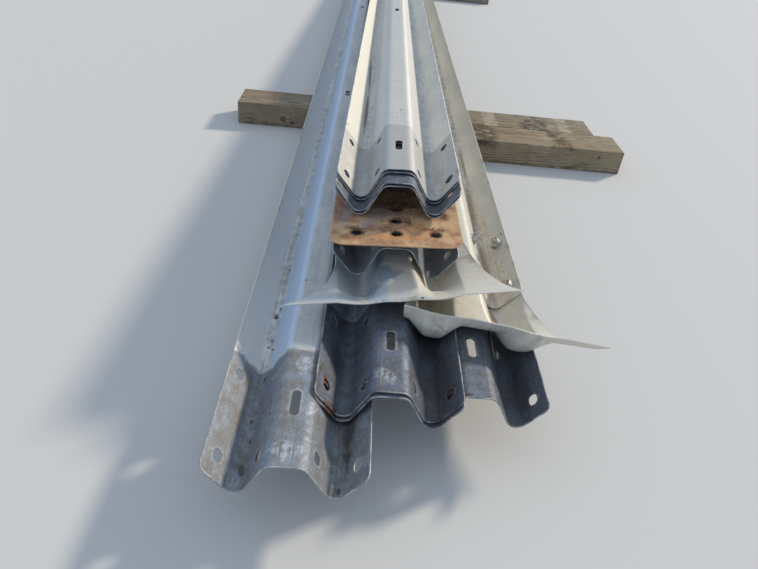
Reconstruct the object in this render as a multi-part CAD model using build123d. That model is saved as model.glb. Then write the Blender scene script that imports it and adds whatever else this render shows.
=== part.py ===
from build123d import *
from dataclasses import dataclass
from math import atan2, cos, radians, sin, tan
import numpy as np
import os

os.makedirs("parts", exist_ok=True)

# Rail sheet, mm: a W with two valleys below and one ridge between them
sheet = 2.67
rail_width = 311.0
rail_length = 7938.0
ridge_flat = 43.0
valley_spacing = 188.0
rise = 80.5
bend_radius = 24.0
lip_rise = 66.0

# Holes of a rail: post slots at every bay, splice slots at each end
bays = 4
post_slot = (19.0, 64.0)
post_slot_from_end = 159.0
splice_slot = (23.0, 29.0)
splice_rows = (51.0, 267.0)
inner_splice = 54.0
outer_splice = 134.0
lap = 318.0

# Bearers
timber_height = 102.0
timber_width = 190.0
timber_length = 1676.0
timber_shift = 144.0
offcut_length = 700.0
offcut_overhang = 88.0
near_timber_y = 2731.0
far_timber_y = 6300.0

# Flared ends
flare_length = 520.0
flare_spread = 126.0
wide_spread = 145.0
tucked_spread = 15.0
fanned_valley = 55.0
curl_length = 45.0
rim_lift = 37.0
rim_skew = 0.14

# End shoe
shoe_sheet = 3.43
shoe_length = 762.0
shoe_plate_width = 320.0
shoe_twist = 200.0
shoe_corner = 38.0
shoe_hole = 25.4
shoe_hole_spacing = 96.0
shoe_hole_pitch = 62.0

# Stacking: near ends along the pile, gap between sheets that lie in one another, column to column
left_near_end = 678.0
right_near_end = 885.0
middle_near_ends = (851.0, 859.0)
side_near_end = 1267.0
inner_near_end = 1235.0
shoe_near_end = 1200.0
top_near_ends = (1325.0, 1328.0, 1376.0, 1382.0)
upper_flare_setback = 27.0
seat_gap = 0.4
column_spacing = 190.0


def inner_angle():
    """Slope of the web between ridge and valley."""
    low, high = 0.6, 1.4
    run = valley_spacing / 2 - ridge_flat / 2
    for _ in range(60):
        mid = (low + high) / 2
        straight = run - 2 * bend_radius * sin(mid)
        climb = 2 * bend_radius * (1 - cos(mid)) + straight * tan(mid)
        low, high = (mid, high) if climb < rise else (low, mid)
    return low


def outer_angle():
    """Slope of the web between valley and lip."""
    low, high = 0.3, 1.4
    run = (rail_width - valley_spacing) / 2
    for _ in range(60):
        mid = (low + high) / 2
        straight = run - bend_radius * sin(mid)
        climb = bend_radius * (1 - cos(mid)) + straight * tan(mid)
        low, high = (mid, high) if climb < lip_rise else (low, mid)
    return low


def half_centreline(steps):
    """Mid-sheet points from the edge of the ridge flat to the right lip."""
    a, b, r = inner_angle(), outer_angle(), bend_radius
    valley = valley_spacing / 2
    shares = [i / steps for i in range(steps + 1)]
    ridge = [(ridge_flat / 2 + r * sin(a * s), rise - r * (1 - cos(a * s))) for s in shares]
    inside = [(valley - r * sin(a * s), r * (1 - cos(a * s))) for s in shares[::-1]]
    outside = [(valley + r * sin(b * s), r * (1 - cos(b * s))) for s in shares[1:]]
    return ridge + inside + outside + [(rail_width / 2, lip_rise)]


def centreline(steps=3):
    right = half_centreline(steps)
    return [(-x, z) for x, z in reversed(right)] + right


def thicken(points, thickness):
    """Closed outline of a sheet of this thickness around its mid-sheet points."""
    upper, lower = [], []
    last = len(points) - 1
    for i, (x, z) in enumerate(points):
        ax, az = points[max(i - 1, 0)]
        bx, bz = points[min(i + 1, last)]
        after = atan2(bz - z, bx - x) if i < last else atan2(z - az, x - ax)
        before = atan2(z - az, x - ax) if i else after
        lean = (before + after) / 2
        out = thickness / 2 / cos((after - before) / 2)
        upper.append((x - out * sin(lean), z + out * cos(lean)))
        lower.append((x + out * sin(lean), z - out * cos(lean)))
    return upper + lower[::-1]


def slot_outline(along, across, corner=0.29):
    """Slot with straight-cut ends, run along the first axis."""
    a, b, c = along / 2, across / 2, across * corner
    half = [(a - c, b), (a, b - c), (a, c - b), (a - c, -b)]
    return make_face(Polyline(*half, *[(-x, -z) for x, z in half], close=True))


def slot_cutter(x, y, z, lean, outline):
    """Slot running along the rail, cut square to a web that leans this far."""
    plane = Plane(origin=(x, y, z), x_dir=(0, 1, 0), z_dir=(-sin(lean), 0, cos(lean)))
    return extrude(plane * outline, amount=12, both=True)


def web_height(x):
    points = half_centreline(8)
    for (ax, az), (bx, bz) in zip(points, points[1:]):
        if ax <= abs(x) <= bx:
            return az + (bz - az) * (abs(x) - ax) / (bx - ax)
    return rise


def splice_cutters(end, way):
    """Eight splice slots behind an end of the sheet, which runs on along +Y or -Y."""
    across, along = splice_slot
    outline = slot_outline(along, across)
    cutters = []
    for row in splice_rows:
        for side in (-1, 1):
            for x, lean in ((inner_splice, -inner_angle()), (outer_splice, outer_angle())):
                cutters.append(slot_cutter(side * x, end + way * row, web_height(x), side * lean, outline))
    return cutters


def post_cutters(positions, rounded=False):
    across, along = post_slot
    outline = SlotOverall(along, across) if rounded else slot_outline(along, across)
    return [slot_cutter(0, y, rise, 0, outline) for y in positions]


def rail(rounded=False):
    """W sheet from y = 0 to its length, valleys at z = 0, slotted for splices and posts."""
    outline = Plane.XZ * make_face(Polyline(*thicken(centreline(), sheet), close=True))
    body = extrude(outline, amount=-rail_length)
    post_pitch = (rail_length - 2 * post_slot_from_end) / bays
    posts = [post_slot_from_end + post_pitch * i for i in range(bays + 1)]
    return body - splice_cutters(0, 1) - splice_cutters(rail_length, -1) - post_cutters(posts, rounded)


def patch(a, b, c, d):
    """One face over four corners, or two where they don't lie in one plane."""
    normal = np.cross(b - a, d - a)
    lift = np.dot(normal, c - a) / np.linalg.norm(normal)
    loops = [(a, b, c, d)] if abs(lift) < 1e-5 else [(a, b, d), (b, c, d)]
    return [make_face(Polyline(*[tuple(p) for p in loop], close=True)) for loop in loops]


def skinned(rings):
    """Solid with flat faces between rings of corners, closed at both ends."""
    faces = [make_face(Polyline(*[tuple(p) for p in ring], close=True)) for ring in (rings[0], rings[-1])]
    for near, far in zip(rings, rings[1:]):
        for i in range(len(near)):
            faces += patch(near[i - 1], near[i], far[i], far[i - 1])
    return Solid(Shell(faces))


def flare_ring(y, height, tilt, depth, wings, fan, skew):
    """Corners of a flared sheet where its ridge is at y and this height, its section leaning forward."""
    valley, flat_half = valley_spacing / 2, ridge_flat / 2
    points = []
    for x, z in centreline():
        outward = min(max(x - flat_half, 0) / (valley - flat_half), 1)
        points.append((x + fan * outward, (z - rise) * depth))
    for end, inside in ((0, 1), (-1, -2)):
        (lip, level), (near, lower) = points[end], points[inside]
        points[end] = (lip - 0.1 * (lip - near), level - 0.1 * (level - lower))
        tip = (-rail_width / 2 - wings[0], level) if end == 0 else (rail_width / 2 + wings[1], level)
        points = [tip] + points if end == 0 else points + [tip]
    lean = radians(tilt)
    corners = [(x, y - skew * x + h * sin(lean), height + h * cos(lean)) for x, h in thicken(points, sheet)]
    return np.array(corners)


def flared_end(left, right, early=0.0, fan=0.0, skew=0.0, lift=0.0):
    """W sheet whose lips sweep outwards and whose valleys curl up to a straight rim at y = 0.

    Each station: place along the sheet, forward lean, depth, spread, and ridge height as a share of the lift.
    """
    throat = flare_length - lap
    curl = curl_length
    stations = [
        (flare_length, 0, 1.0, 0.0, 0.0),
        (throat, 0, 1.0, 0.0, 0.0),
        (2.9 * curl, 0, 1.0, 0.09, 0.0),
        (1.9 * curl, 0, 1.0, 0.2, 0.0),
        (curl, 8, 0.97, 0.4, 0.0),
        (0.84 * curl, 25, 0.85, 0.46, 0.0),
        (0.67 * curl, 42, 0.68, 0.53, 0.04),
        (0.44 * curl, 58, 0.45, 0.66, 0.2),
        (0.18 * curl, 72, 0.22, 0.84, 0.5),
        (0, 80, 0.08, 1.0, 1.0),
    ]
    rings = []
    for y, tilt, depth, share, raised in stations:
        wide = share + early * (1 - share) * (1 - y / flare_length)
        wings = (left * share, right * wide)
        rings.append(flare_ring(y, rise + raised * lift, tilt, depth, wings, fan * share**2, skew * share))
    body = skinned(rings)
    return body - splice_cutters(flare_length, -1) - post_cutters([flare_length - post_slot_from_end])


def shoe_ring(y, depth, widen):
    points = [(x * widen, (z - rise) * depth) for x, z in centreline()]
    return np.array([(x, y, z + rise) for x, z in thicken(points, shoe_sheet)])


def shoe_plate_length():
    return shoe_length - lap - shoe_twist


def end_shoe():
    """Connector that is a W at the back and a flat plate at ridge height at the front."""
    plate, widen = shoe_plate_length(), shoe_plate_width / rail_width
    stations = [
        (0, 0.0, widen),
        (plate, 0.0, widen),
        (plate + 0.3 * shoe_twist, 0.2, 1 + (widen - 1) * 0.7),
        (plate + 0.65 * shoe_twist, 0.75, 1 + (widen - 1) * 0.3),
        (shoe_length - lap, 1.0, 1.0),
        (shoe_length, 1.0, 1.0),
    ]
    body = skinned([shoe_ring(*station) for station in stations])
    half, cut = shoe_plate_width / 2, shoe_corner
    for edge in (-1, 1):
        square = Pos(edge * half, 0, rise) * Box(2 * cut, 2 * cut, 30)
        body -= square - Pos(edge * (half - cut), cut, rise) * Cylinder(cut, 40)
    holes = [(i * shoe_hole_spacing, 56) for i in (-1, 0, 1)]
    holes += [(0, 56 + shoe_hole_pitch), (0, 56 + 2 * shoe_hole_pitch)]
    body -= [Pos(x, y, rise) * Cylinder(shoe_hole / 2, 40) for x, y in holes]
    return body - splice_cutters(shoe_length, -1) - post_cutters([shoe_length - post_slot_from_end])


def timber(length):
    return Box(length, timber_width, timber_height, align=(Align.CENTER, Align.MIN, Align.MIN))


def sampled(points, spacing=2.0):
    """The same line of points with more of them, evenly spread."""
    points = np.array(points)
    run = np.concatenate([[0], np.cumsum(np.hypot(*np.diff(points, axis=0).T))])
    at = np.linspace(0, run[-1], int(run[-1] / spacing))
    at = np.union1d(at, run)
    return np.stack([np.interp(at, run, points[:, i]) for i in (0, 1)], axis=1)


@dataclass
class Place:
    """Where a sheet's near end lies. Roll lowers its right side, slope its far end, in degrees."""

    x: float
    y: float
    roll: float = 0.0
    slope: float = 0.0
    turn: float = 0.0
    start: float = 0.0
    length: float = rail_length
    section: object = None
    z: float = 0.0

    def crossing(self, y):
        """Mid-sheet points where the sheet crosses this y."""
        points = w_section if self.section is None else self.section
        roll, slope, turn = radians(self.roll), radians(self.slope), radians(self.turn)
        across = points[:, 0] * cos(roll) + points[:, 1] * sin(roll)
        up = points[:, 1] * cos(roll) - points[:, 0] * sin(roll)
        run = (y - self.y - across * sin(turn)) / cos(turn)
        x = self.x + across / cos(turn) - (y - self.y) * tan(turn)
        z = self.z + up / cos(slope) - run * tan(slope)
        return np.stack([x, z], axis=1)

    def put(self, shape):
        tilt = Rot(0, 0, self.turn) * Rot(-self.slope, 0, 0) * Rot(0, self.roll, 0)
        return Pos(self.x, self.y, timber_height + self.z) * tilt * shape


def clearance(one, other):
    """Smallest distance between two sheets, over five crossings of their common length."""
    first = max(one.y + one.start, other.y + other.start)
    last = min(one.y + one.length, other.y + other.length)
    if last <= first:
        return 1000.0
    nearest = 1000.0
    for y in np.linspace(first + 1, last - 1, 5):
        apart = one.crossing(y)[:, None] - other.crossing(y)[None]
        nearest = min(nearest, np.sqrt((apart**2).sum(axis=2).min()))
    return nearest


def settle(place, supports, gap=sheet + seat_gap):
    """Lowers a sheet until it lies on those below it."""
    place.z = max(support.z for support in supports) + 1.5 * rise
    step = 8.0
    while step > 0.03:
        place.z -= step
        if min(clearance(place, support) for support in supports) < gap:
            place.z += step
            step /= 2.5
    return place


w_section = sampled(centreline())
plate_section = sampled([(-shoe_plate_width / 2, rise), (shoe_plate_width / 2, rise)])
on_timber = 0.1 - min(z for _, z in thicken(centreline(), sheet))

left = Place(-column_spacing, left_near_end, z=on_timber)
right = Place(column_spacing, right_near_end, z=on_timber)
middle_lower = settle(Place(0, middle_near_ends[0]), [left, right])
middle_upper = settle(Place(0, middle_near_ends[1]), [middle_lower])

curled = {"start": 2 * curl_length, "length": flare_length}
flare_y = side_near_end + lap - flare_length
flare_side = settle(Place(column_spacing, flare_y, roll=3, **curled), [middle_upper, right])
side = settle(Place(column_spacing, side_near_end, roll=3), [flare_side, middle_upper, right])
flare_top = Place(30, flare_y + upper_flare_setback, roll=-8, slope=3, turn=3, **curled)
settle(flare_top, [middle_upper, side, flare_side])

inner = Place(6, inner_near_end, roll=-2.5, slope=0.1, turn=-0.55)
settle(inner, [flare_top, middle_upper, side])
shoe_gap = (sheet + shoe_sheet) / 2 + seat_gap
shoe = Place(5, shoe_near_end, -3, 0.3, 0.3, start=shoe_length - lap, length=shoe_length)
settle(shoe, [inner], shoe_gap)
plate = Place(shoe.x, shoe.y, shoe.roll, shoe.slope, shoe.turn, 0, shoe_plate_length(), plate_section, shoe.z)

tops = []
for y in top_near_ends:
    top = Place(0, y, roll=-2.5, slope=0.93, turn=-0.6)
    tops.append(settle(top, [tops[-1]]) if tops else settle(top, [plate, inner], shoe_gap))

offcut_x = timber_shift + timber_length / 2 + offcut_overhang - offcut_length / 2
one_rail = rail()
side_flare = flared_end(tucked_spread, wide_spread, fan=fanned_valley, skew=rim_skew, lift=rim_lift)
top_flare = flared_end(flare_spread, flare_spread, early=0.5)
pieces = {
    "near_back_timber": Pos(timber_shift, near_timber_y, 0) * timber(timber_length),
    "near_front_timber": Pos(offcut_x, near_timber_y - timber_width - seat_gap, 0) * timber(offcut_length),
    "far_timber": Pos(timber_shift, far_timber_y, 0) * timber(timber_length),
    "bottom_left_rail": left.put(rail(rounded=True)),
    "bottom_right_rail": right.put(one_rail),
    "bottom_middle_rail_lower": middle_lower.put(one_rail),
    "bottom_middle_rail_upper": middle_upper.put(one_rail),
    "right_side_rail": side.put(one_rail),
    "flared_end_right": flare_side.put(side_flare),
    "flared_end_upper": flare_top.put(top_flare),
    "inner_rail": inner.put(one_rail),
    "end_shoe": shoe.put(end_shoe()),
}
for i, top in enumerate(tops):
    pieces[f"top_rail_{len(tops) - i}"] = top.put(one_rail)

boxes = [shape.bounding_box() for shape in pieces.values()]
middle_x = (min(b.min.X for b in boxes) + max(b.max.X for b in boxes)) / 2
middle_y = (min(b.min.Y for b in boxes) + max(b.max.Y for b in boxes)) / 2

for name, shape in pieces.items():
    export_step(Pos(-middle_x, -middle_y, 0) * shape, f"parts/{name}.step")
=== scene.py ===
import math
from functools import reduce
import bpy
import numpy as np
from mathutils import Matrix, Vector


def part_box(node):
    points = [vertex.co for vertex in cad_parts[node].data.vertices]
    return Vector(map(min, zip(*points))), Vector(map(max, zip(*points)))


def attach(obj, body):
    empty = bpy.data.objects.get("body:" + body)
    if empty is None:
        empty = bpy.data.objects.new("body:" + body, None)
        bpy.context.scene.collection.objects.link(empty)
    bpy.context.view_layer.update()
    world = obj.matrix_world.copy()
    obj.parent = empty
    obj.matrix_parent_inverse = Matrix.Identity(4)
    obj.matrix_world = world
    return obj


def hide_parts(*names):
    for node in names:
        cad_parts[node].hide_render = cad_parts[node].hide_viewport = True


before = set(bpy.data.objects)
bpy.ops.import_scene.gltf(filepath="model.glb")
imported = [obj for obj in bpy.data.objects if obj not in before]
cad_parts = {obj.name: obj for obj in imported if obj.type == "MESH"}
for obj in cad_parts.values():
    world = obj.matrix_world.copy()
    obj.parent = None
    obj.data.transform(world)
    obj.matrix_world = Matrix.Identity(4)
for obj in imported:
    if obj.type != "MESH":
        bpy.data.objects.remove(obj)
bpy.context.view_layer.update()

mm = 0.001

# The W sheet, in millimetres: the same section as the CAD rails
sheetForm = dict(
    thickness=2.67,
    width=311.0,
    ridgeFlat=43.0,
    valleySpacing=188.0,
    rise=80.5,
    bendRadius=24.0,
    lipRise=66.0,
    length=7938.0,
    lap=318.0,
    cornerRadius=16.0,
    cornerReach=30.0,
    edgeRound=0.5,
)

# Slots of a rail end, in millimetres, and the lines of the net round each of them
slotForm = dict(
    postPitch=1905.0,
    postFromEnd=159.0,
    postHalf=(9.5, 32.0),
    spliceHalf=(11.5, 14.5),
    spliceRows=(51.0, 267.0),
    spliceAcross=(54.0, 134.0),
    collar=11.0,
    collarShare=0.16,
    ringLines=(-20.0, -12.0, -4.0, 4.0, 12.0, 20.0),
    rowShares=(0.12, 0.42, 0.66, 0.86),
    rimGap=2.5,
)

# Flared end, at stations from its near rim: forward lean in degrees, and the shares of the wings' spread, of the
# lift, of the press on ridge and valleys, and of the sideways shift. Each flared end has its own depths of the W.
flareForm = dict(
    length=520.0,
    along=(0, 8.1, 19.8, 30.2, 37.8, 45.0, 85.5, 130.5, 202.0, 520.0),
    lean=(80, 72, 58, 42, 25, 8, 0, 0, 0, 0),
    spread=(1, 0.84, 0.66, 0.53, 0.46, 0.4, 0.2, 0.09, 0, 0),
    raised=(1, 0.5, 0.2, 0.04, 0, 0, 0, 0, 0, 0),
    pressed=(0, 0.4, 0.9, 1, 1, 1, 0.6, 0.25, 0, 0),
    shifted=(1, 0.82, 0.62, 0.47, 0.38, 0.3, 0.04, 0, 0, 0),
    bedSoft=9.0,
    pressSoft=5.0,
    wing=10.0,
    tip=1.6,
    liftAt=155.0,
)

# End shoe: plate with five holes at the front, W at the back
shoeForm = dict(
    thickness=3.43,
    length=762.0,
    plate=244.0,
    twist=200.0,
    plateWidth=320.0,
    corner=38.0,
    cornerReach=45.0,
    holeRadius=12.7,
    ringLines=(-22.0, -13.0, -4.0, 4.0, 13.0, 22.0),
    holesAt=((-96.0, 56.0), (0.0, 56.0), (96.0, 56.0), (0.0, 118.0), (0.0, 180.0)),
)


# Slope a of a web, by halving: climb = bends * r * (1 - cos a) + (run - bends * r * sin a) * tan a
def bendAngle(run, climb, bends, low=0.3, high=1.4, halvings=50):
    r = sheetForm["bendRadius"]
    for _ in range(halvings):
        mid = (low + high) / 2
        reach = bends * r * (1 - math.cos(mid)) + (run - bends * r * math.sin(mid)) * math.tan(mid)
        low, high = (mid, high) if reach < climb else (low, mid)
    return low


# W section as arc length s against (x, z), the running sums of cosine and sine of a heading that turns evenly
# through each bend and holds between bends. crown, valley and edge are the arc lengths of those lines.
def buildSection(samples=6000):
    f = sheetForm
    r = f["bendRadius"]
    innerRun = (f["valleySpacing"] - f["ridgeFlat"]) / 2
    outerRun = (f["width"] - f["valleySpacing"]) / 2
    a = bendAngle(innerRun, f["rise"], 2)
    b = bendAngle(outerRun, f["lipRise"], 1)
    innerWeb = (innerRun - 2 * r * math.sin(a)) / math.cos(a)
    outerWeb = (outerRun - r * math.sin(b)) / math.cos(b)
    lengths = [f["ridgeFlat"] / 2, r * a, innerWeb, r * a, r * b, outerWeb]
    knots = np.concatenate([[0], np.cumsum(lengths)])
    headings = np.array([0, 0, -a, -a, 0, b, b])
    s = np.linspace(0, knots[-1], samples)
    heading = np.interp(s, knots, headings)
    step = s[1] - s[0]
    mid = (heading[1:] + heading[:-1]) / 2
    x = np.concatenate([[0], np.cumsum(np.cos(mid))]) * step
    z = f["rise"] + np.concatenate([[0], np.cumsum(np.sin(mid))]) * step
    return dict(s=s, x=x, z=z, knots=knots, crown=knots[1], valley=knots[4], edge=knots[6])


section = buildSection()


def sectionX(s):
    return np.sign(s) * np.interp(np.abs(s), section["s"], section["x"])


def sectionZ(s):
    return np.interp(np.abs(s), section["s"], section["z"])


def arcAt(x):
    return np.sign(x) * np.interp(np.abs(x), section["x"], section["s"])


# Columns of a sheet: lines close together on the ridge, round the bends and round the slots
def sheetColumns(extra=()):
    k = section["knots"]
    inner, outer = (float(arcAt(x)) for x in slotForm["spliceAcross"])
    around = np.array(slotForm["ringLines"])
    lines = [np.array([4.0, 12.0]), np.linspace(k[1], k[2], 8), inner + around, np.linspace(k[3], k[4], 8),
             np.linspace(k[4], k[5], 8), outer + around, np.linspace(outer + around[-1], k[6], 6), np.array(extra)]
    half = np.unique(np.round(np.concatenate(lines), 4))
    half = half[np.concatenate([[True], np.diff(half) > 0.05])]
    return np.concatenate([-half[::-1], half])


# Rows of a sheet: close together at the slots and at the places in `near`, elsewhere no more than `pitch` apart
def sheetRows(length, holeRows, near=(), pitch=110.0):
    lines = [np.array([0.0, length]), np.array(near, float)]
    for centre, half in holeRows:
        inside = half * np.array(slotForm["rowShares"])
        spread = np.concatenate([inside, [half + slotForm["rimGap"], half + slotForm["collar"]]])
        lines += [centre + spread, centre - spread]
    rows = np.unique(np.round(np.concatenate(lines), 4))
    rows = rows[(rows >= 0) & (rows <= length)]
    filled = [rows[:1]]
    for low, high in zip(rows[:-1], rows[1:]):
        filled.append(np.linspace(low, high, max(1, int(math.ceil((high - low) / pitch))) + 1)[1:])
    return np.concatenate(filled)


# A slot: centre, half sizes across and along, and the columns and rows that its ring of faces takes up.
# widen is the stretch of a flat plate's width, where the slot is cut in the plate and not in the bent sheet.
def slotAt(s, y, across, along, columns, widen=None):
    reach = along + slotForm["collar"]
    return dict(centre=np.array([s, y]), across=across, along=along, columns=columns, rows=(y - reach, y + reach),
                widen=widen)


def spliceSlots(end, way):
    lines = slotForm["ringLines"]
    centres = [(side * float(arcAt(x)), end + way * row)
               for row in slotForm["spliceRows"] for side in (-1, 1) for x in slotForm["spliceAcross"]]
    return [slotAt(s, y, *slotForm["spliceHalf"], (s + lines[0], s + lines[-1])) for s, y in centres]


def postSlots(positions):
    flat = section["crown"]
    return [slotAt(0.0, y, *slotForm["postHalf"], (-flat, flat)) for y in positions]


def plateSlots():
    f = shoeForm
    r, widen = f["holeRadius"], f["plateWidth"] / sheetForm["width"]
    slots = []
    for x, y in f["holesAt"]:
        columns = [float(arcAt((x + f["ringLines"][i]) / widen)) for i in (0, -1)]
        slots.append(slotAt(x, y, r, r, columns, widen))
    return slots


# Quads between two closed loops of points
def bandFaces(a, b):
    return np.stack([a, np.roll(a, -1), np.roll(b, -1), b], axis=1)


# Flat net of quads over (s, y) with each slot's cells replaced by a ring round the slot
def sheetNet(columns, rows, slots):
    nc, nr = len(columns), len(rows)
    net = np.stack(np.meshgrid(columns, rows), axis=-1).reshape(-1, 2)
    cell = np.ones((nr - 1, nc - 1), bool)
    points, faces, count = [net], [], len(net)
    for slot in slots:
        c0, c1 = (int(np.argmin(np.abs(columns - v))) for v in slot["columns"])
        r0, r1 = (int(np.argmin(np.abs(rows - v))) for v in slot["rows"])
        cell[r0:r1, c0:c1] = False
        loop = np.concatenate([
            r0 * nc + np.arange(c0, c1), np.arange(r0, r1) * nc + c1,
            r1 * nc + np.arange(c1, c0, -1), np.arange(r1, r0, -1) * nc + c0])
        # each outer point has a rim point facing it: half circles round the ends of a straight part
        flat, widen = net[loop], slot["widen"]
        if widen:
            flat = np.stack([sectionX(flat[:, 0]) * widen, flat[:, 1]], axis=1)
        away = flat - slot["centre"]
        straight = max(slot["along"] - slot["across"], 0)
        foot = np.stack([np.zeros(len(away)), np.clip(away[:, 1], -straight, straight)], axis=1)
        out = (away - foot) / np.linalg.norm(away - foot, axis=1, keepdims=True)
        rim = slot["centre"] + foot + slot["across"] * out
        collar = rim + slotForm["collarShare"] * (flat - rim)
        if widen:
            rim, collar = (np.stack([arcAt(p[:, 0] / widen), p[:, 1]], axis=1) for p in (rim, collar))
        n = len(loop)
        points += [collar, rim]
        collarIds = count + np.arange(n)
        faces += [bandFaces(loop, collarIds), bandFaces(collarIds, collarIds + n)]
        count += 2 * n
    r, c = np.nonzero(cell)
    corner = r * nc + c
    faces.insert(0, np.stack([corner, corner + 1, corner + nc + 1, corner + nc], axis=1))
    points, faces = np.concatenate(points), np.concatenate(faces)
    used, faces = np.unique(faces, return_inverse=True)
    return points[used], faces.reshape(-1, 4)


def smoothRamp(t):
    t = np.clip(t, 0, 1)
    return t * t * (3 - 2 * t)


# End corners rounded off: near an end each row is drawn in by r - sqrt(r^2 - over^2), less and less further in
def roundCorners(s, y, length, nearEnd=False):
    r, reach = sheetForm["cornerRadius"], sheetForm["cornerReach"]
    over = np.clip(np.abs(s) - (section["edge"] - r), 0, r)
    cut = r - np.sqrt(r * r - over * over)
    if nearEnd:
        y = y + cut * np.clip(1 - y / reach, 0, 1)
    return y - cut * np.clip(1 - (length - y) / reach, 0, 1)


# The plain W: (s, y) -> (section x at s, y, section z at s)
def bendRail(net):
    s, y = net[:, 0], net[:, 1]
    return np.stack([sectionX(s), roundCorners(s, y, sheetForm["length"], nearEnd=True), sectionZ(s)], axis=1)


# Curve through the stations without overshoot: cubic pieces whose end slopes are harmonic means of the chords' slopes
def eased(at, knots, values):
    x, v = np.array(knots, float), np.array(values, float)
    slope = np.diff(v) / np.diff(x)
    product = slope[:-1] * slope[1:]
    inner = np.where(product > 0, 2 * product / np.where(product > 0, slope[:-1] + slope[1:], 1), 0)
    m = np.concatenate([slope[:1], inner, slope[-1:]])
    i = np.clip(np.searchsorted(x, at, side="right") - 1, 0, len(x) - 2)
    h = x[i + 1] - x[i]
    t = np.clip((at - x[i]) / h, 0, 1)
    start = (1 + 2 * t) * v[i] + t * h * m[i]
    end = (3 - 2 * t) * v[i + 1] + (t - 1) * h * m[i + 1]
    return start * (1 - t) ** 2 + end * t * t


# The greater (way 1) or lesser (way -1) of a and b, the corner between them rounded:
# half of a + b + way * sqrt((a - b)^2 + soft^2)
def softLimit(a, b, way, soft):
    return (a + b + way * np.sqrt((a - b) ** 2 + soft**2)) / 2


# A flared end. With h the height of the W below its ridge times the depth there, a point lies at
# (x, y + h sin(lean), rise + h cos(lean)). `bed` fills the valleys and `press` cuts the ridge down. `left` and
# `right` draw out the last 10 mm of the wings, and `early` begins that further back. `shift` moves the left valley,
# both sides of the ridge and the right valley across, `skew` slants the rim, `lift` raises it at the left, in the
# middle and at the right, and `drop` turns down the left wing's tip.
def bendFlare(net, left, right, depth, early=0.0, shift=(0, 0, 0, 0), skew=0.0, lift=(0, 0, 0), press=0.0,
              bed=0.0, drop=0.0):
    f = flareForm
    s, y = net[:, 0], net[:, 1]
    y = roundCorners(s, y, f["length"])
    lean, share, raised, pressed, moved = (eased(y, f["along"], f[k])
                                           for k in ("lean", "spread", "raised", "pressed", "shifted"))
    depth = eased(y, f["along"], depth)
    lean = np.radians(lean)
    x = sectionX(s)
    h = sectionZ(s) - sheetForm["rise"]
    h = softLimit(h, bed * pressed - sheetForm["rise"], 1, f["bedSoft"] * pressed)
    h = softLimit(h, -press * pressed, -1, f["pressSoft"] * pressed) * depth
    valley, flat = sheetForm["valleySpacing"] / 2, sheetForm["ridgeFlat"] / 2
    wide = share + early * (1 - share) * (1 - y / f["length"])
    x = x + moved * np.interp(x, (-valley, -flat, flat, valley), shift)
    wingAt = section["edge"] - f["wing"]
    stretch = smoothRamp((np.abs(s) - wingAt) / f["wing"])
    x = x + stretch * np.where(s > 0, right * wide - shift[3] * moved, -left * share - shift[0] * moved)
    tip = smoothRamp((-s - wingAt - (f["wing"] - f["tip"])) / f["tip"])
    lifted = raised * np.interp(sectionX(s), (-f["liftAt"], 0, f["liftAt"]), lift)
    height = sheetForm["rise"] + lifted - drop * share**3 * tip
    return np.stack([x, y - skew * share * x + h * np.sin(lean), height + h * np.cos(lean)], axis=1)


# The end shoe: flat plate at ridge height in front, W behind, eased from one to the other by 3t^2 - 2t^3
def bendShoe(net):
    f = shoeForm
    s, y = net[:, 0], net[:, 1]
    ease = smoothRamp((y - f["plate"]) / f["twist"])
    widen = 1 + (f["plateWidth"] / sheetForm["width"] - 1) * (1 - ease)
    x = sectionX(s) * widen
    over = np.clip(np.abs(x) - (f["plateWidth"] / 2 - f["corner"]), 0, f["corner"])
    y = y + (f["corner"] - np.sqrt(f["corner"] ** 2 - over**2)) * np.clip(1 - y / f["cornerReach"], 0, 1)
    y = roundCorners(s, y, f["length"])
    z = sheetForm["rise"] + (sectionZ(s) - sheetForm["rise"]) * ease
    return np.stack([x, y, z], axis=1)


# Corners of a CAD sheet in metres
def nodePoints(node):
    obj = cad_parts[node]
    co = np.empty(len(obj.data.vertices) * 3)
    obj.data.vertices.foreach_get("co", co)
    matrix = np.array(obj.matrix_world)
    return co.reshape(-1, 3) @ matrix[:3, :3].T + matrix[:3, 3]


# Where a W end lies, read off its loop of corners: (origin, x axis, y axis, z axis). The reaches, in metres, say how
# near a corner is to the end, to the outer edges and to the lines of the ridge and the valleys.
reachForm = dict(end=0.028, edge=0.004, line=0.003)


def loopFrame(points, far):
    reach = reachForm
    y = points[:, 1]
    loop = points[y > y.max() - reach["end"]] if far else points[y < y.min() + reach["end"]]
    across = loop[:, 0]
    right = loop[across > across.max() - reach["edge"]].mean(axis=0)
    left = loop[across < across.min() + reach["edge"]].mean(axis=0)
    middle = (left + right) / 2
    ex = (right - left) / np.linalg.norm(right - left)
    side = (loop - middle) @ ex
    crown = loop[np.abs(np.abs(side) - sheetForm["ridgeFlat"] * mm / 2) < reach["line"]]
    valley = loop[np.abs(np.abs(side) - sheetForm["valleySpacing"] * mm / 2) < reach["line"]]
    up = crown.mean(axis=0) - valley.mean(axis=0)
    up -= ex * (up @ ex)
    ez = up / np.linalg.norm(up)
    base = crown.mean(axis=0) - ez * sheetForm["rise"] * mm
    return base, ex, np.cross(ez, ex), ez


# Origin and axes of a sheet at its near end: a short sheet goes by its far end, a rail by both ends
def sheetFrame(node, length, wholeRail):
    points = nodePoints(node)
    far, ex, ey, ez = loopFrame(points, True)
    if not wholeRail:
        return far - ey * length * mm, ex, ey, ez
    near, _, _, up = loopFrame(points, False)
    ey = (far - near) / np.linalg.norm(far - near)
    ez = up - ey * (up @ ey)
    ez /= np.linalg.norm(ez)
    return near, np.cross(ey, ez), ey, ez


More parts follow.
